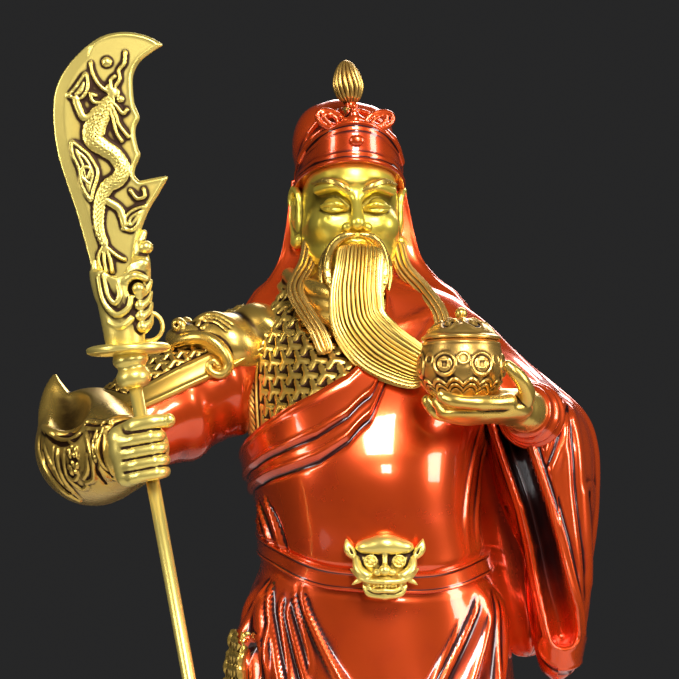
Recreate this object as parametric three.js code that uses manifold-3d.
// A cast brass temple statue of a bearded general: a robed and armoured figure on a low stepped plinth,
// a crescent-bladed pole arm held upright in one fist, and a lidded treasure pot carried on the other hand.
// Millimetres, +Z up, origin at the centre of the plinth's underside. The figure faces -Y.

import * as THREE from "three";
import { mergeVertices } from "three/addons/utils/BufferGeometryUtils.js";
import Module from "manifold-3d";

// Figure: sole of the boots to the top of the cap. Its pose and carving are shares of this height.
const FIGURE_HEIGHT = 433;

// Plinth: three tiers with rounded corners.
const PLINTH_LENGTH = 196;
const PLINTH_DEPTH = 164;
const PLINTH_CORNER_RADIUS = 26;
const PLINTH_FOOT_HEIGHT = 9;
const PLINTH_WAIST_HEIGHT = 8;
const PLINTH_TOP_HEIGHT = 8;
const PLINTH_WAIST_INSET = 7;
const PLINTH_TOP_INSET = 4;
const PLINTH_TIER_BITE = 0.5;

// Pole arm: a round shaft, a turned collar and guard, a beast-head socket and a flat crescent blade.
// Its lengths go with the height of the figure that holds it.
const SHAFT_RADIUS = 2.8;
const COLLAR_RADIUS = 7.4;
const COLLAR_HEIGHT = 14;
const GUARD_RADIUS = 17.3;
const GUARD_THICKNESS = 4.2;
const GUARD_ABOVE_GRIP = 0.09 * FIGURE_HEIGHT;
const SOCKET_LENGTH = 0.0624 * FIGURE_HEIGHT;
const SOCKET_RADIUS = 10;
const SOCKET_THICKNESS = 9;
const BLADE_LENGTH = 0.2587 * FIGURE_HEIGHT;
const BLADE_THICKNESS = 3;
const BLADE_EDGE_BEVEL = 0.9;
const BLADE_ROOT_IN_SOCKET = 0.0323 * FIGURE_HEIGHT;
const DRAGON_RELIEF = 1.3;

// Treasure pot and its lid.
const POT_RADIUS = 18;
const POT_HEIGHT = 26;
const POT_MOUTH_RADIUS = 15.5;
const POT_FOOT_RADIUS = 9;
const POT_WALL = 2;
const LID_RIM_RADIUS = 16.8;
const LID_RIM_HEIGHT = 2.4;
const LID_DOME_HEIGHT = 7;
const LID_WALL = 2;
const LID_SPIGOT_DEPTH = 2.4;
const KNOB_RADIUS = 2.6;

// Clearances between pieces that touch.
const GRIP_CLEARANCE = 0.4;
const SEAT_GAP = 0.3;

const plinthHeight = PLINTH_FOOT_HEIGHT + PLINTH_WAIST_HEIGHT + PLINTH_TOP_HEIGHT;
// The carving below is written for a figure 433 mm tall and grows with the real one.
const unit = FIGURE_HEIGHT / 433;

const { sin, cos, abs, sign, min, max, PI, hypot } = Math;
const deg = THREE.MathUtils.degToRad;
const ramp = (low, high, value) => THREE.MathUtils.smoothstep(value, low, high);

const wasm = await Module();
wasm.setup();

// A closed mesh as a solid, turned outwards if its faces point in.
function solid(geometry) {
  const loose = geometry.index ? geometry.toNonIndexed() : geometry;
  const bare = new THREE.BufferGeometry().setAttribute("position", loose.getAttribute("position"));
  const merged = mergeVertices(bare, 1e-4);
  const build = (triVerts) =>
    new wasm.Manifold(
      new wasm.Mesh({ numProp: 3, vertProperties: merged.attributes.position.array, triVerts }),
    );
  const faces = new Uint32Array(merged.index.array);
  const made = build(faces);
  return made.volume() < 0 ? build(faces.slice().reverse()) : made;
}

function geometryOf(body) {
  const mesh = body.getMesh();
  const positions = new Float32Array(mesh.numVert * 3);
  for (let i = 0; i < mesh.numVert; i++)
    positions.set(mesh.vertProperties.subarray(i * mesh.numProp, i * mesh.numProp + 3), i * 3);
  return new THREE.BufferGeometry()
    .setAttribute("position", new THREE.BufferAttribute(positions, 3))
    .setIndex(new THREE.BufferAttribute(mesh.triVerts, 1));
}

const join = (...bodies) => bodies.reduce((whole, body) => whole.add(body));

// A skin of quads around a form: point(u, v) gives its surface, u once round and v from end to end.
// The two ends are closed by fans, or the skin is closed on itself as a hoop.
function skin(around, along, point, hoop = false) {
  const rings = hoop ? along : along + 1;
  const positions = [];
  for (let j = 0; j < rings; j++)
    for (let i = 0; i < around; i++) positions.push(...point(i / around, j / along));
  const at = (i, j) => (j % rings) * around + (i % around);
  const faces = [];
  for (let j = 0; j < along; j++)
    for (let i = 0; i < around; i++) {
      faces.push(at(i, j), at(i + 1, j), at(i + 1, j + 1));
      faces.push(at(i, j), at(i + 1, j + 1), at(i, j + 1));
    }
  const closeEnd = (j, turn) => {
    const middle = [0, 0, 0];
    for (let i = 0; i < around; i++)
      for (let k = 0; k < 3; k++) middle[k] += positions[at(i, j) * 3 + k] / around;
    const tip = positions.push(...middle) / 3 - 1;
    for (let i = 0; i < around; i++)
      faces.push(...(turn ? [at(i + 1, j), at(i, j), tip] : [at(i, j), at(i + 1, j), tip]));
  };
  if (!hoop) {
    closeEnd(0, true);
    closeEnd(along, false);
  }
  const geometry = new THREE.BufferGeometry();
  geometry.setAttribute("position", new THREE.Float32BufferAttribute(positions, 3));
  geometry.setIndex(faces);
  return solid(geometry);
}

// A row of values between the rows of a table, at share t of its length, by a Catmull-Rom spline.
function between(rows, t) {
  const place = min(max(t, 0), 1) * (rows.length - 1);
  const i = min(Math.floor(place), rows.length - 2);
  const f = place - i;
  const row = (k) => rows[min(max(k, 0), rows.length - 1)];
  return rows[i].map((_, c) => {
    const [a, b, d, e] = [row(i - 1)[c], row(i)[c], row(i + 1)[c], row(i + 2)[c]];
    return b + 0.5 * f * (d - a + f * (2 * a - 5 * b + 4 * d - e + f * (3 * (b - d) + e - a)));
  });
}

// A form swept along stations [x, y, z, half width, half thickness], in figure units. The width lies along
// `wide`, and the thickness across it and the path. Its ends are rounded off.
function sweep(stations, around, along, wide = [1, 0, 0], roundEnds = 0.12) {
  const across = new THREE.Vector3(...wide);
  return skin(around, along, (u, v) => {
    const [x, y, z, halfWidth, halfThickness] = between(stations, v);
    const ahead = between(stations, v + 0.01);
    const behind = between(stations, v - 0.01);
    const way = new THREE.Vector3(...ahead.slice(0, 3)).sub(new THREE.Vector3(...behind.slice(0, 3)));
    const side = across.clone().addScaledVector(way, -across.dot(way) / way.lengthSq()).normalize();
    const out = way.normalize().cross(side);
    const end = min(v, 1 - v) / roundEnds;
    const swell = end < 1 ? Math.sqrt(max(1 - (1 - end) ** 2, 0.04)) : 1;
    return new THREE.Vector3(x, y, z)
      .addScaledVector(side, cos(2 * PI * u) * halfWidth * swell)
      .addScaledVector(out, sin(2 * PI * u) * halfThickness * swell)
      .multiplyScalar(unit)
      .toArray();
  });
}

// An egg of half sizes (rx, ry, rz) in figure units, optionally turned.
function egg(x, y, z, rx, ry, rz, turn = [0, 0, 0], around = 7, along = 5) {
  const geometry = new THREE.SphereGeometry(1, around, along);
  geometry.rotateX(PI / 2).scale(rx, ry, rz);
  geometry.rotateX(turn[0]).rotateY(turn[1]).rotateZ(turn[2]);
  geometry.translate(x, y, z).scale(unit, unit, unit);
  return solid(geometry);
}

// A round-ended rod through points, each [x, y, z, radius], in figure units.
const rod = (points, around = 6, along = 5, wide = [1, 0, 0]) =>
  sweep(points.map(([x, y, z, r]) => [x, y, z, r, r]), around, along, wide, 0.2);

// The trunk and skirt: each row is [height, middle x, half width, depth in front, depth behind].
const TRUNK = [
  [30, 0, 74, 55, 46],
  [55, 0, 73, 55, 46],
  [80, 0, 71, 54, 45],
  [105, 0, 69, 53, 43],
  [130, 0, 67, 52, 41],
  [155, 0, 64.5, 51, 39],
  [180, 0, 62, 51, 37],
  [200, 0.5, 58.5, 51, 35],
  [212, 1, 54, 52, 33],
  [222, 1, 50.5, 54, 33],
  [240, -1, 49.5, 58, 33],
  [262, -3, 52, 60, 34],
  [284, -3, 54.5, 54, 35],
  [306, -2, 56.5, 44, 35],
  [326, -3, 54, 35, 33],
  [340, -4, 42, 28, 29],
  [350, -8, 24, 20, 22],
  [358, -9, 15, 15, 17],
];
const TRUNK_LOW = TRUNK[0][0];
const TRUNK_HIGH = TRUNK[TRUNK.length - 1][0];

// The belt dips in front and is a little higher on the pole side.
const BELT_HALF_HEIGHT = 4.3;
const BELT_PROUD = 2.2;
const beltHeight = (angle) => 223 - 10.5 * cos(angle) - 3.2 * sin(angle);

// Depth of the cloth's folds at an angle round the body (0 in front, positive towards +X) and a height.
function foldDepth(angle, height) {
  const hang = 1 - ramp(50, 200, height);
  const lap = max(cos(angle), 0);
  const near = (value, middle, half) => Math.exp(-(((value - middle) / half) ** 2));
  const wave = cos(7 * angle + 0.6);
  const knees = (near(angle, -0.55, 0.42) + 1.25 * near(angle, 0.6, 0.42)) * ramp(40, 110, height);
  const pull = (foot, top) => {
    const line = foot + (top - foot) * ramp(120, 214, height);
    return near(angle, line, 0.1) * ramp(110, 150, height) * (1 - ramp(205, 214, height));
  };
  return hang * (5.5 * wave * (1 - 0.4 * lap) - 7 * near(angle, 0, 0.2) * lap)
    + 5 * knees * (1 - ramp(120, 185, height))
    + 2.6 * (pull(-0.1, -1) + pull(-0.55, -1.25) + pull(0.2, 0.95) + pull(0.6, 1.3));
}

// A point of the trunk's surface, in figure units, pushed out by `proud`.
function trunkPoint(angle, height, proud = 0) {
  const place = heightShare(height);
  const [, middle, halfWidth, front, back] = between(TRUNK, place);
  const depth = cos(angle) > 0 ? front : back;
  const out = proud + foldDepth(angle, height);
  const squarer = (value) => sign(value) * abs(value) ** 0.86;
  return [
    middle + (halfWidth + out) * squarer(sin(angle)),
    -(depth + out) * squarer(cos(angle)),
    height,
  ];
}

// The share of the trunk table at which a height lies.
function heightShare(height) {
  const i = max(TRUNK.findIndex((row) => row[0] > height) - 1, 0);
  const last = height >= TRUNK_HIGH ? TRUNK.length - 2 : i;
  const [low, high] = [TRUNK[last][0], TRUNK[last + 1][0]];
  return (last + min(max((height - low) / (high - low), 0), 1)) / (TRUNK.length - 1);
}

const scaled = (point) => point.map((value) => value * unit);
const wrap = (u) => (u > 0.5 ? u - 1 : u) * 2 * PI;

// The belt is a step in the trunk's own surface.
function trunk() {
  const BELOW = 10;
  const ABOVE = 8;
  const BELT = [[-1, 0], [-0.85, 1], [0.85, 1], [1, 0]];
  return skin(42, BELOW + BELT.length + ABOVE - 1, (u, v) => {
    const row = Math.round(v * (BELOW + BELT.length + ABOVE - 1));
    const angle = wrap(u);
    const middle = beltHeight(angle);
    const step = BELT[row - BELOW];
    if (step) return scaled(trunkPoint(angle, middle + step[0] * BELT_HALF_HEIGHT, step[1] * BELT_PROUD));
    if (row < BELOW) {
      const top = middle - BELT_HALF_HEIGHT;
      return scaled(trunkPoint(angle, TRUNK_LOW + (top - TRUNK_LOW) * (row / BELOW)));
    }
    const bottom = middle + BELT_HALF_HEIGHT;
    const share = (row - BELOW - BELT.length + 1) / ABOVE;
    return scaled(trunkPoint(angle, bottom + (TRUNK_HIGH - bottom) * share));
  });
}

// A strap laid on the trunk along [angle, height] stations: a flat band with a rounded section.
function strap(stations, halfWidth, thickness, along) {
  const surface = (t, proud) => {
    const [angle, height] = between(stations, t);
    return new THREE.Vector3(...trunkPoint(angle, height, proud));
  };
  return skin(6, along, (u, v) => {
    const middle = surface(v, 0);
    const out = surface(v, 5).sub(middle).normalize();
    const way = surface(v + 0.02, 0).sub(surface(v - 0.02, 0)).normalize();
    const side = way.cross(out);
    const [a, b] = [cos(2 * PI * (u + 1 / 12)), sin(2 * PI * (u + 1 / 12))];
    return scaled(middle
      .addScaledVector(side, sign(a) * min(abs(a) * 1.5, 1) * halfWidth)
      .addScaledVector(out, sign(b) * min(abs(b) * 1.5, 1) * thickness).toArray());
  });
}

// The buckle: a lion's mask with a domed brow, ears, eyes, nose and a toothed jaw.
function buckle() {
  const [x, y, z] = [4.5, -57, 221];
  return join(
    egg(x, y, z + 4, 14, 5, 8.5, [0, 0, 0], 10, 6),
    egg(x, y - 1, z - 4, 13, 5, 7, [0, 0, 0], 9, 5),
    egg(x, y - 0.5, z - 11, 8, 4, 3.4),
    egg(x, y - 5.5, z - 3.5, 3.6, 2.6, 3, [0, 0, 0], 6, 4),
    ...[-1, 1].flatMap((s) => [
      egg(x + s * 15.5, y + 2, z + 6, 2.8, 3, 5, [0, s * 0.5, 0], 6, 4),
      egg(x + s * 6, y - 4.4, z + 0.6, 2.8, 2.2, 2.2, [0, 0, 0], 6, 4),
    ]),
  );
}

// The robe's broad border, from the waist on the sword side up across the chest to the other shoulder.
const robeBorder = () =>
  strap([[-1.6, 266], [-1.1, 281], [-0.62, 296], [-0.2, 311], [0.16, 324], [0.5, 338]], 10, 2, 12);

// Boots with upturned toes that stand flat on the plinth, and the trouser legs above them.
function leg(side) {
  const toeOut = side * 0.12;
  const place = [side * 30, -6, 0];
  const BOOT = [[20, 0, 13, 12], [12, 0, 14, 13], [-4, 4, 15, 14], [-24, 2, 15, 15], [-40, 0, 13, 12], [-52, 3, 9, 8]];
  const boot = skin(8, 6, (u, v) => {
    const [y, lift, halfWidth, top] = between(BOOT, v);
    const end = min(v, 1 - v) / 0.14;
    const swell = end < 1 ? Math.sqrt(max(1 - (1 - end) ** 2, 0.08)) : 1;
    const [a, b] = [cos(2 * PI * u), sin(2 * PI * u)];
    const across = a * halfWidth * swell;
    const high = max(b, 0) * (top + lift) * 1.15 * swell;
    const sole = b < 0 ? 0 : high;
    return scaled([
      place[0] + across * cos(toeOut) + y * -sin(toeOut),
      place[1] + y * cos(toeOut) + across * -sin(toeOut),
      sole + 0,
    ].map((value, k) => (k === 2 && b < 0 ? 0 : value)));
  });
  const shin = sweep([[place[0], 4, 6, 13, 14], [place[0], 2, 26, 15, 16], [place[0], 0, 48, 20, 20]], 8, 2);
  return join(boot, shin);
}

// The head: skull and jaw with brow, eyes, nose, lips, cheeks and ears, turned a little to one side.
const HEAD_TURN = deg(6);
const HEAD_AXIS = [-10.4, -2];
const headPlace = (x, y, z) => {
  const [c, s] = [cos(HEAD_TURN), sin(HEAD_TURN)];
  return [HEAD_AXIS[0] + x * c - y * s, HEAD_AXIS[1] + x * s + y * c, z];
};
const onHead = (x, y, z, ...rest) => egg(...headPlace(x, y, z), ...rest);

function head() {
  const HEAD = [
    [347, 9, 22, 8], [350, 14, 27, 12], [356, 19, 30, 17], [364, 21.5, 31, 20],
    [374, 22, 31, 22], [384, 22, 31, 24], [394, 22, 31, 26], [404, 20, 28, 24],
  ];
  const skull = skin(14, 8, (u, v) => {
    const [z, halfWidth, front, back] = between(HEAD, v);
    const angle = wrap(u);
    const depth = cos(angle) > 0 ? front : back;
    return scaled(headPlace(halfWidth * sin(angle), -depth * cos(angle), z));
  });
  const pair = (make) => [-1, 1].map(make);
  return join(
    skull,
    rod([[...headPlace(0, -30, 382), 2.4], [...headPlace(0, -34.5, 374), 3], [...headPlace(0, -36, 370), 3.4]], 6, 3),
    onHead(0, -31.5, 360.5, 6.5, 3.4, 2.6, [0, 0, 0], 7, 4),
    ...pair((s) => rod([
      [...headPlace(s * 3, -31, 383), 1.6], [...headPlace(s * 10, -29.5, 386), 1.9],
      [...headPlace(s * 17, -24, 386), 1.4],
    ], 5, 3)),
    ...pair((s) => onHead(s * 8.5, -28.5, 377.5, 4, 2.2, 2.2, [0, 0, 0], 6, 4)),
    ...pair((s) => onHead(s * 24, 2, 378, 3.2, 5, 10.5, [0, s * 0.1, 0], 7, 5)),
    ...pair((s) => rod([
      [...headPlace(s * 3, -33, 366), 1.8], [...headPlace(s * 8, -31.5, 362), 2.6],
      [...headPlace(s * 10.5, -29, 354), 3],
    ], 5, 3)),
  );
}

// The cap: a rounded crown, a taller rounded back, a crescent band with a stud, two bows and a ribbed plume.
function cap() {
  const crown = onHead(0, 3, 400, 23, 28, 21, [0, 0, 0], 12, 8);
  const back = onHead(-2, 13, 408, 22, 18, 25, [0, 0, 0], 12, 8);
  const band = skin(6, 18, (u, v) => {
    const angle = (v - 0.5) * deg(250);
    const [a, b] = [cos(2 * PI * (u + 1 / 12)), sin(2 * PI * (u + 1 / 12))];
    const rise = max(cos(angle * 0.72), 0) ** 1.2;
    const low = 385 + 12 * rise;
    const high = low + 3 + 16 * rise;
    const lean = 0.12 * (high - low);
    const t = 0.5 + 0.5 * sign(b) * min(abs(b) * 1.3, 1);
    const proud = (a > 0 ? 1.6 : -5) * min(abs(a) * 1.5, 1) - lean * t;
    return scaled(headPlace((23.6 + proud) * sin(angle), -(31.5 + proud) * cos(angle), low + (high - low) * t));
  });
  const bow = (s) =>
    skin(4, 7, (u, v) => {
      const turn = v * 2 * PI;
      const r = 1.5;
      return scaled(headPlace(
        s * 10.5 + 6.2 * cos(turn) + r * cos(2 * PI * u) * cos(turn),
        -26 - r * sin(2 * PI * u),
        416.5 + s * 1.6 * cos(turn) + 3.6 * sin(turn) + r * cos(2 * PI * u) * sin(turn),
      ));
    }, true);
  const RIBS = 7;
  const plume = skin(2 * RIBS, 5, (u, v) => {
    const [z, r] = between([[422, 2.2], [426, 4.6], [431, 6.4], [437, 5.4], [442, 2.6], [444.5, 0.8]], v);
    const ribbed = r * (1 + 0.09 * cos(RIBS * 2 * PI * u));
    return scaled(headPlace(-1.8 - 0.08 * (z - 423) + ribbed * cos(2 * PI * u), -21 + ribbed * sin(2 * PI * u), z));
  });
  return join(
    crown, back, band, bow(-1), bow(1), plume,
    onHead(0, -24, 416, 4.4, 4, 4),
    rod([
      [...headPlace(0, -20, 400), 4], [...headPlace(0, -22, 412), 3.4], [...headPlace(-1, -22, 421), 2.4],
      [...headPlace(-1.6, -21, 426), 2.6],
    ], 6, 4),
    onHead(0, -31.2, 406.5, 3.4, 2, 2.6, [0, 0, 0], 6, 4),
  );
}

// Cloth that falls from the cap behind the ears and spreads on the shoulders.
function hood() {
  const FALL = [
    [394, -11, 24.5, 0, 28], [382, -10.5, 26.5, 0, 28], [370, -10, 28.5, 2, 28], [358, -9.5, 32, 5, 29],
    [347, -8, 40, 12, 31], [338, -7, 49.5, 19, 33], [328, -6, 54, 24, 34],
  ];
  return skin(18, 6, (u, v) => {
    const [z, middle, halfWidth, front, back] = between(FALL, v);
    const angle = wrap(u);
    const depth = cos(angle) > 0 ? front : back;
    return scaled([middle + halfWidth * sin(angle), -depth * cos(angle), z]);
  });
}

// The beard: one long swept lock with ribs, and two thin ribbons of hair that fall from the ears.
function beard() {
  const LOCK = [
    [-5.4, -33, 361, 9.5, 4.5], [-6.4, -37, 350, 10, 5.2], [-7.6, -40, 337, 11, 5.4], [-6, -42, 325, 11.5, 5],
    [2, -46, 314.5, 12, 4.6], [13, -49, 307.5, 10.5, 4], [24, -51, 303, 8, 3.2],
  ];
  const across = new THREE.Vector3(1, 0, 0.35);
  const body = sweep(LOCK, 14, 10, across.toArray(), 0.1);
  const hair = (s, stations) => sweep(stations.map(([x, y, z]) => [x, y, z, 2.6, 1.8]), 4, 7, [1, 0, 0.2 * s], 0.08);
  return join(
    body,
    hair(-1, [[-27, -14, 366], [-29, -20, 354], [-34, -28, 342], [-30, -33, 332], [-24, -38, 322], [-20, -41, 312]]),
    hair(1, [[11, -12, 364], [14, -17, 352], [22, -22, 342], [29, -29, 331], [31, -34, 320]]),
  );
}

// The arm on the pole side: thick sleeve, elbow with an upswept tip, flared cuff, shoulder beast and fist.
const GRIP = [-94.8, -81, 270];
const POLE_FOOT = [-44, -71];
const poleLean = new THREE.Vector3(GRIP[0] - POLE_FOOT[0], GRIP[1] - POLE_FOOT[1], GRIP[2]).normalize();

function poleArm() {
  const sleeve = sweep([
    [-44, 0, 318, 22, 20], [-62, -2, 306, 25, 24], [-82, -6, 294, 25, 25], [-104, -13, 281, 25, 26],
    [-122, -20, 273, 26.5, 27],
  ], 12, 6, [0, 0, 1], 0.16);
  const tip = sweep([
    [-124, -16, 280, 19, 16], [-134, -13, 292, 11, 10], [-140, -12, 302, 5, 4.6], [-142, -12, 307, 1.6, 1.6],
  ], 8, 3);
  const cuff = sweep([
    [-123, -16, 273, 26, 27], [-121, -30, 271, 25, 25], [-115, -46, 270, 21, 21], [-108, -60, 270, 15, 15],
    [-103, -70, 270, 11, 12],
  ], 12, 4, [0, 0, 1], 0.12);
  return join(sleeve, tip, cuff);
}

// A beast's head over the shoulder: skull, brow, snout with a lifted nose, and a curled lip.
function shoulderBeast() {
  return join(
    egg(-66, -10, 319, 16, 21, 13, [0, 0.35, 0], 10, 6),
    egg(-82, -16, 321, 9.5, 12, 7.5, [0, 0, 0], 8, 5),
    egg(-90, -18, 324, 3.6, 7, 3.4, [0, 0, 0], 6, 4),
    egg(-76, -25, 327, 5, 4.5, 4, [0, 0, 0], 6, 4),
    egg(-71, -4, 331, 6, 6, 3.5, [0, 0, 0], 6, 4),
    rod([[-82, -24, 316, 2.6], [-71, -28, 314, 3.4], [-62, -30, 306, 3.4], [-58, -28, 297, 3]], 6, 5),
  );
}

// A fist round the pole: palm behind it and four fingers curled in front.
function fist() {
  const across = new THREE.Vector3(1, 0, 0).addScaledVector(poleLean, -poleLean.x).normalize();
  const ahead = new THREE.Vector3().crossVectors(poleLean, across).negate().normalize();
  const centre = new THREE.Vector3(...GRIP);
  const place = (side, front, up, radius) =>
    [...centre.clone().addScaledVector(across, side).addScaledVector(ahead, front).addScaledVector(poleLean, up).toArray(), radius];
  const FINGER_PITCH = 5.8;
  const fingers = [1.5, 0.5, -0.5, -1.5].map((row) =>
    rod([
      place(-9, -3, row * FINGER_PITCH, 3.6), place(-9, 6, row * FINGER_PITCH, 3.5),
      place(-1, 8, row * FINGER_PITCH, 3.4), place(8, 7, row * FINGER_PITCH, 3.3), place(10, 0, row * FINGER_PITCH, 3),
    ], 6, 6, [0, 0, 1]));
  return join(
    egg(...place(-1, -6.5, 0).slice(0, 3), 11.5, 7, 13.5, [0, 0, 0], 9, 6),
    rod([place(-6, -4, 11, 3.8), place(2, 4, 14, 3.6), place(12, 5, 13, 3)], 6, 4, [0, 0, 1]),
    ...fingers,
  );
}

// The other arm is hidden in a deep hanging sleeve whose mouth is open to the front.
function hangingSleeve() {
  const BAG = [
    [171, 80.5, -18, 3, 6], [176, 81, -17, 8, 13], [187, 81.5, -16, 10.5, 18], [206, 82, -15, 13, 22],
    [227, 81, -14, 15.5, 25], [250, 77, -13, 21, 27], [272, 74.5, -13, 23.5, 28], [288, 70.5, -12, 22, 27],
    [302, 60, -8, 18, 25], [315, 48.5, -3, 16.5, 22], [327, 40, 0, 14, 19], [337, 32, 0, 10, 14],
  ];
  const bag = skin(20, 12, (u, v) => {
    const [z, x, y, rx, ry] = between(BAG, v);
    const turn = 2 * PI * u;
    const fold = 1 + 0.05 * cos(7 * turn) * ramp(180, 230, z) * (1 - ramp(285, 320, z));
    return scaled([x + rx * fold * cos(turn), y + ry * fold * sin(turn), z]);
  });
  const rim = sweep([
    [53, -37, 286], [58, -39.5, 262], [65, -40.5, 244], [70.5, -40, 222], [72, -38.5, 203], [74, -36.5, 186],
    [81, -34, 178], [88, -35.5, 186], [87.5, -38, 205], [83.5, -40, 229], [78, -41, 249], [72.5, -41, 266],
    [70, -40, 286],
  ].map((point) => [...point, 2.6, 2.8]), 4, 17, [0, 1, 0], 0.04);
  const mouth = sweep([
    [62, -46, 288, 4.5, 15], [66, -46, 265, 4, 15], [71.5, -46, 249, 4.5, 15], [77, -45, 232, 5, 15],
    [80, -43, 207, 5.5, 14], [81, -40, 192, 4.5, 12],
  ], 8, 6, [1, 0, 0], 0.14);
  const back = sweep([
    [42, 4, 300, 10, 15], [51, 7, 270, 13, 15], [59, 8, 235, 15, 14], [65, 5, 205, 13, 13], [70, 1, 180, 8, 10],
  ], 9, 5);
  return { cloth: join(bag, rim, back), mouth };
}

// The pot's seat: where the pot's foot rests on the palm, and the hand that carries it.
const POT_SEAT = [36.5, -73, 288.5];

function openHand() {
  const [x, y, z] = POT_SEAT;
  const finger = (...points) => rod(points.map(([dx, dy, dz, r]) => [x + dx, y + dy, z + dz, r]), 6, 5, [0, 0, 1]);
  return join(
    egg(x + 17, y, z - 2, 13, 14, 6.5, [0, 0, 0], 9, 6),
    sweep([
      [x + 18, y + 4, z - 1, 8, 7], [x + 27, y + 14, z - 2, 9.5, 9], [x + 32, y + 32, z - 3, 11, 11],
      [x + 30, y + 50, z - 2, 12, 12],
    ], 8, 4, [0, 0, 1]),
    finger([18, -13, -1, 4.2], [6, -19, -3.5, 4], [-6, -18, -2.5, 3.7], [-14, -14, 2, 3.2]),
    finger([16, -5, -4, 4.2], [4, -8, -5, 4], [-9, -8, -4, 3.7], [-18, -6, 2, 3.2]),
    finger([15, 3, -4, 4.2], [3, 3, -5, 4], [-10, 3, -4, 3.7], [-18.5, 3, 2, 3.2]),
    finger([14, 11, -2, 4], [4, 13, -3, 3.6], [-7, 13, -2, 3.3], [-14, 11, 3, 2.8]),
    finger([24, -6, 0, 4.4], [25, -12, 6, 4], [20, -15, 12, 3.4], [16, -16, 16, 2.6]),
  );
}

// A side tasset of scale armour that hangs from the belt on the pole side.
function tasset() {
  return strap([[-1.42, 206], [-1.42, 180], [-1.42, 150], [-1.42, 122]], 12, 3.4, 5);
}

// The pot's outside, from the foot to the mouth, grown by `grow` for the seat that the hand leaves it.
function potProfile(grow = 0) {
  const bulge = [
    [0, 0], [POT_FOOT_RADIUS, 0], [POT_FOOT_RADIUS + 1, POT_HEIGHT * 0.06],
    [POT_RADIUS * 0.86, POT_HEIGHT * 0.24], [POT_RADIUS, POT_HEIGHT * 0.55],
    [POT_RADIUS * 0.95, POT_HEIGHT * 0.82], [POT_MOUTH_RADIUS + POT_WALL * 0.4, POT_HEIGHT],
  ];
  return bulge.map(([r, z]) => new THREE.Vector2(r > 0 ? r + grow : 0, z < POT_HEIGHT * 0.5 ? z - grow : z));
}

const potPlace = new THREE.Matrix4().makeTranslation(...POT_SEAT.map((value) => value * unit));

function lathe(profile, segments = 16) {
  return solid(new THREE.LatheGeometry(profile, segments).rotateX(PI / 2));
}

function pot() {
  const wallTop = POT_HEIGHT;
  const inner = [
    [0, POT_WALL], [POT_FOOT_RADIUS - POT_WALL, POT_WALL], [POT_RADIUS * 0.84 - POT_WALL, POT_HEIGHT * 0.27],
    [POT_RADIUS - POT_WALL, POT_HEIGHT * 0.55], [POT_RADIUS * 0.95 - POT_WALL, POT_HEIGHT * 0.8],
    [POT_MOUTH_RADIUS - POT_WALL * 0.6, wallTop],
  ].map(([r, z]) => new THREE.Vector2(r, z));
  return lathe([...potProfile(), ...inner.reverse()]);
}

function potLid() {
  const seat = POT_HEIGHT + SEAT_GAP;
  const spigot = POT_MOUTH_RADIUS - POT_WALL * 0.6 - 2 * SEAT_GAP;
  const rimTop = seat + LID_RIM_HEIGHT;
  const dome = (share, shrink) => {
    const turn = share * (PI / 2);
    return new THREE.Vector2((LID_RIM_RADIUS - 1.2 - shrink) * cos(turn), rimTop + (LID_DOME_HEIGHT - shrink) * sin(turn));
  };
  const arc = (shrink, count) => Array.from({ length: count }, (_, i) => dome(i / count, shrink));
  const body = lathe([
    new THREE.Vector2(0, rimTop + LID_DOME_HEIGHT), ...arc(0, 3).reverse(),
    new THREE.Vector2(LID_RIM_RADIUS, rimTop - 0.3), new THREE.Vector2(LID_RIM_RADIUS, seat + 0.4),
    new THREE.Vector2(LID_RIM_RADIUS - 0.6, seat), new THREE.Vector2(spigot, seat),
    new THREE.Vector2(spigot, seat - LID_SPIGOT_DEPTH), new THREE.Vector2(spigot - LID_WALL, seat - LID_SPIGOT_DEPTH),
    ...arc(LID_WALL + 1, 3), new THREE.Vector2(0, rimTop + LID_DOME_HEIGHT - LID_WALL - 1),
  ]);
  const knobTop = rimTop + LID_DOME_HEIGHT + 1.2 * KNOB_RADIUS;
  const knob = solid(new THREE.SphereGeometry(KNOB_RADIUS, 7, 5).translate(0, 0, knobTop));
  const neck = solid(new THREE.CylinderGeometry(KNOB_RADIUS * 0.6, KNOB_RADIUS, 3, 8).rotateX(PI / 2)
    .translate(0, 0, rimTop + LID_DOME_HEIGHT + 0.4));
  const PETALS = 5;
  const curls = Array.from({ length: PETALS }, (_, i) => {
    const turn = (i / PETALS) * 2 * PI;
    const { x: r, y: z } = dome(0.42, 0);
    return solid(new THREE.SphereGeometry(2.6, 5, 3).scale(1, 1, 0.7).translate(r * cos(turn), r * sin(turn), z));
  });
  return join(body, neck, knob, ...curls);
}

// The blade's outline in the pole's own plane: [along the pole from the guard, across it], the edge side first.
const BLADE_EDGE = [
  [29, -8.7], [45, -9.9], [58, -11.1], [70, -12.8], [81, -14.2], [91, -14.3], [101, -13.2], [110, -10.7], [118, -5.2],
  [125, 3.5], [129.3, 13.3], [129.1, 23.1], [125.6, 31.9], [120.8, 37.5],
];
const BLADE_BACK = [
  [118.6, 32.1], [115.6, 26.6], [110.8, 22.9], [105, 21.6], [98.3, 21.1], [92.7, 22.2], [89, 20], [85.4, 19.1], [80, 19.2],
  [76.9, 19.6], [72, 16.6], [69, 15.8], [66.4, 17.3], [66.4, 28.4], [64.6, 28.6], [59.1, 23.9], [52.3, 18.1], [41, 12], [29, 9],
];
const bladeReach = max(...BLADE_EDGE.map(([along]) => along));

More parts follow.
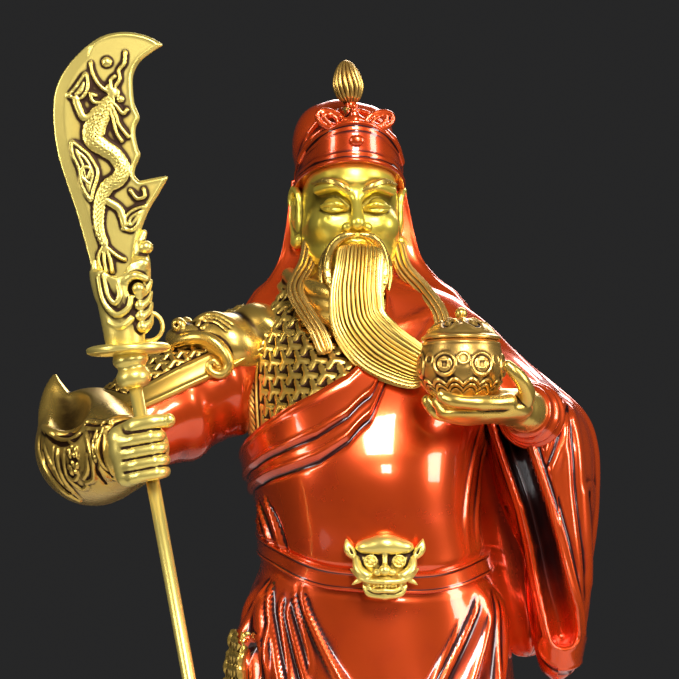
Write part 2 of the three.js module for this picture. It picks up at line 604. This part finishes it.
function blade(guardTop) {
  const grow = (BLADE_LENGTH + SOCKET_LENGTH - BLADE_ROOT_IN_SOCKET) / (0.9675 * bladeReach);
  const outline = [...BLADE_EDGE, ...BLADE_BACK].map(([along, across]) =>
    new THREE.Vector2(across * grow, guardTop + along * grow));
  const plate = new THREE.ExtrudeGeometry(new THREE.Shape(outline), {
    depth: BLADE_THICKNESS - 2 * BLADE_EDGE_BEVEL,
    bevelThickness: BLADE_EDGE_BEVEL,
    bevelSize: BLADE_EDGE_BEVEL,
    bevelOffset: -BLADE_EDGE_BEVEL,
    bevelSegments: 1,
  });
  plate.translate(0, 0, BLADE_EDGE_BEVEL - BLADE_THICKNESS / 2).rotateX(PI / 2);
  return join(solid(plate), ...[-1, 1].map((face) => dragon(guardTop, grow, face)).flat());
}

// A dragon in low relief on one face of the blade: an S of body, head, two claws, a cloud and a pearl.
function dragon(guardTop, grow, face) {
  const BODY = [[33, 2, 1.2], [44, -1, 2.6], [56, -2, 3.4], [67, 3, 3.6], [75, 9, 3.6], [84, 9, 3.6], [88, 2, 3.6],
    [94, -1, 3.8], [102, 2, 4.4], [108, 7, 3.4]];
  const lift = BLADE_THICKNESS / 2;
  const bump = (along, across, half) =>
    solid(new THREE.SphereGeometry(1, 5, 3).scale(half, DRAGON_RELIEF, half)
      .translate(across * grow, face * lift, guardTop + along * grow));
  const trail = skin(4, 8, (u, v) => {
    const [along, across, half] = between(BODY, v);
    const ahead = between(BODY, v + 0.02);
    const behind = between(BODY, v - 0.02);
    const way = new THREE.Vector2(ahead[1] - behind[1], ahead[0] - behind[0]).normalize();
    const side = cos(2 * PI * u) * half * grow;
    return [
      across * grow + way.y * side,
      face * (lift + sin(2 * PI * u) * DRAGON_RELIEF),
      guardTop + along * grow - way.x * side,
    ];
  });
  return [trail, bump(110, 9, 4.2), bump(105, -5, 3), bump(76, -6, 4), bump(53, 13, 3), bump(117, 4, 2)];
}

function poleWeapon() {
  const gripLength = hypot(GRIP[0] - POLE_FOOT[0], GRIP[1] - POLE_FOOT[1], GRIP[2]) * unit;
  const guardLow = gripLength + GUARD_ABOVE_GRIP;
  const guardTop = guardLow + GUARD_THICKNESS;
  const foot = SEAT_GAP + SHAFT_RADIUS * Math.tan(poleLean.angleTo(new THREE.Vector3(0, 0, 1)));
  const turned = lathe([
    [0, foot], [SHAFT_RADIUS, foot], [SHAFT_RADIUS, guardLow - COLLAR_HEIGHT],
    [COLLAR_RADIUS * 0.8, guardLow - COLLAR_HEIGHT + 1], [COLLAR_RADIUS, guardLow - COLLAR_HEIGHT * 0.65],
    [COLLAR_RADIUS * 0.9, guardLow - COLLAR_HEIGHT * 0.35], [COLLAR_RADIUS * 0.85, guardLow],
    [GUARD_RADIUS * 0.8, guardLow], [GUARD_RADIUS, guardLow + GUARD_THICKNESS * 0.35],
    [GUARD_RADIUS, guardLow + GUARD_THICKNESS * 0.65], [GUARD_RADIUS * 0.8, guardTop], [0, guardTop],
  ].map(([r, z]) => new THREE.Vector2(r, z)), 14);
  const socket = skin(10, 4, (u, v) => {
    const [along, half, thick, middle] = between([
      [-0.05, 0.8, 0.75, 0], [0.3, 0.95, 0.85, 0.02], [0.7, 1.12, 1, 0.05], [1, 1.16, 0.9, 0.1], [1.25, 1, 0.6, 0.3],
    ], v);
    return [
      (middle + half * cos(2 * PI * u)) * SOCKET_RADIUS,
      thick * sin(2 * PI * u) * SOCKET_THICKNESS,
      guardTop + along * SOCKET_LENGTH,
    ];
  });
  const ball = (across, out, along, rx, ry, rz) =>
    solid(new THREE.SphereGeometry(1, 6, 4).scale(rx, ry, rz).translate(across, out, guardTop + along));
  const snout = [
    ball(12, 0, 30, 3.4, 5, 5), ball(14, 0, 37, 3, 4, 4.4), ball(-9, 0, 27, 2.6, 5, 4), ball(9, -7, 20, 2.6, 2, 2.6),
    ball(9, 7, 20, 2.6, 2, 2.6),
  ];
  const curl = skin(4, 5, (u, v) => {
    const turn = (v - 0.1) * PI * 1.1;
    const r = 6 + 0.8 * cos(2 * PI * u);
    return [9.5 + r * sin(turn), 5 + 0.8 * sin(2 * PI * u), guardTop + 5 - r * cos(turn)];
  });
  return join(turned, socket, ...snout, curl, blade(guardTop));
}

function tier(length, depth, radius, low, height) {
  const [x, y] = [length / 2, depth / 2];
  const shape = new THREE.Shape()
    .moveTo(-x + radius, -y)
    .lineTo(x - radius, -y)
    .absarc(x - radius, -y + radius, radius, -PI / 2, 0)
    .absarc(x - radius, y - radius, radius, 0, PI / 2)
    .absarc(-x + radius, y - radius, radius, PI / 2, PI)
    .absarc(-x + radius, -y + radius, radius, PI, 1.5 * PI);
  return solid(new THREE.ExtrudeGeometry(shape, { depth: height, bevelEnabled: false, curveSegments: 3 }).translate(0, 0, low));
}

function plinth() {
  const inset = (by, low, height) =>
    tier(PLINTH_LENGTH - 2 * by, PLINTH_DEPTH - 2 * by, PLINTH_CORNER_RADIUS - by, low, height);
  const waistLow = PLINTH_FOOT_HEIGHT - PLINTH_TIER_BITE;
  return join(
    inset(0, 0, PLINTH_FOOT_HEIGHT),
    inset(PLINTH_WAIST_INSET, waistLow, PLINTH_WAIST_HEIGHT + 2 * PLINTH_TIER_BITE),
    inset(PLINTH_TOP_INSET, PLINTH_FOOT_HEIGHT + PLINTH_WAIST_HEIGHT, PLINTH_TOP_HEIGHT),
  );
}

const poleTurn = new THREE.Quaternion().setFromUnitVectors(new THREE.Vector3(0, 0, 1), poleLean);
const polePlace = new THREE.Matrix4().compose(
  new THREE.Vector3(POLE_FOOT[0] * unit, POLE_FOOT[1] * unit, 0), poleTurn, new THREE.Vector3(1, 1, 1));

// Room for the shaft through the fist and for the pot in the hand.
function figure() {
  const shaftRoom = solid(new THREE.CylinderGeometry(
    SHAFT_RADIUS + GRIP_CLEARANCE, SHAFT_RADIUS + GRIP_CLEARANCE, 2 * FIGURE_HEIGHT, 16)
    .rotateX(PI / 2).applyMatrix4(polePlace));
  const seat = potProfile(SEAT_GAP);
  const potRoom = solid(new THREE.LatheGeometry([...seat, new THREE.Vector2(0, POT_HEIGHT)], 26)
    .rotateX(PI / 2).applyMatrix4(potPlace));
  const { cloth, mouth } = hangingSleeve();
  const draped = join(
    trunk(), robeBorder(), tasset(), leg(-1), leg(1), hood(), head(), cap(), beard(),
    poleArm(), shoulderBeast(), cloth,
  ).subtract(mouth);
  return join(draped, buckle(), fist(), openHand()).subtract(shaftRoom).subtract(potRoom);
}

const brass = new THREE.MeshStandardMaterial({ name: "antique_gold", color: 0xc99a2e, roughness: 0.3, metalness: 0.9 });
const lacquer = new THREE.MeshStandardMaterial({ name: "red_lacquer", color: 0xb8321a, roughness: 0.22, metalness: 0.6 });

function piece(name, body, material) {
  const mesh = new THREE.Mesh(geometryOf(body), material);
  mesh.name = name;
  return mesh;
}

const statue = new THREE.Group();
statue.add(piece("plinth", plinth(), lacquer));

const standing = new THREE.Group();
standing.position.z = plinthHeight;
standing.add(piece("figure", figure(), lacquer));

const weapon = new THREE.Group();
weapon.applyMatrix4(polePlace);
weapon.add(piece("pole_arm", poleWeapon(), brass));

const treasure = new THREE.Group();
treasure.applyMatrix4(potPlace);
treasure.add(piece("treasure_pot", pot(), brass), piece("pot_lid", potLid(), brass));

standing.add(weapon, treasure);
statue.add(standing);

export default statue;
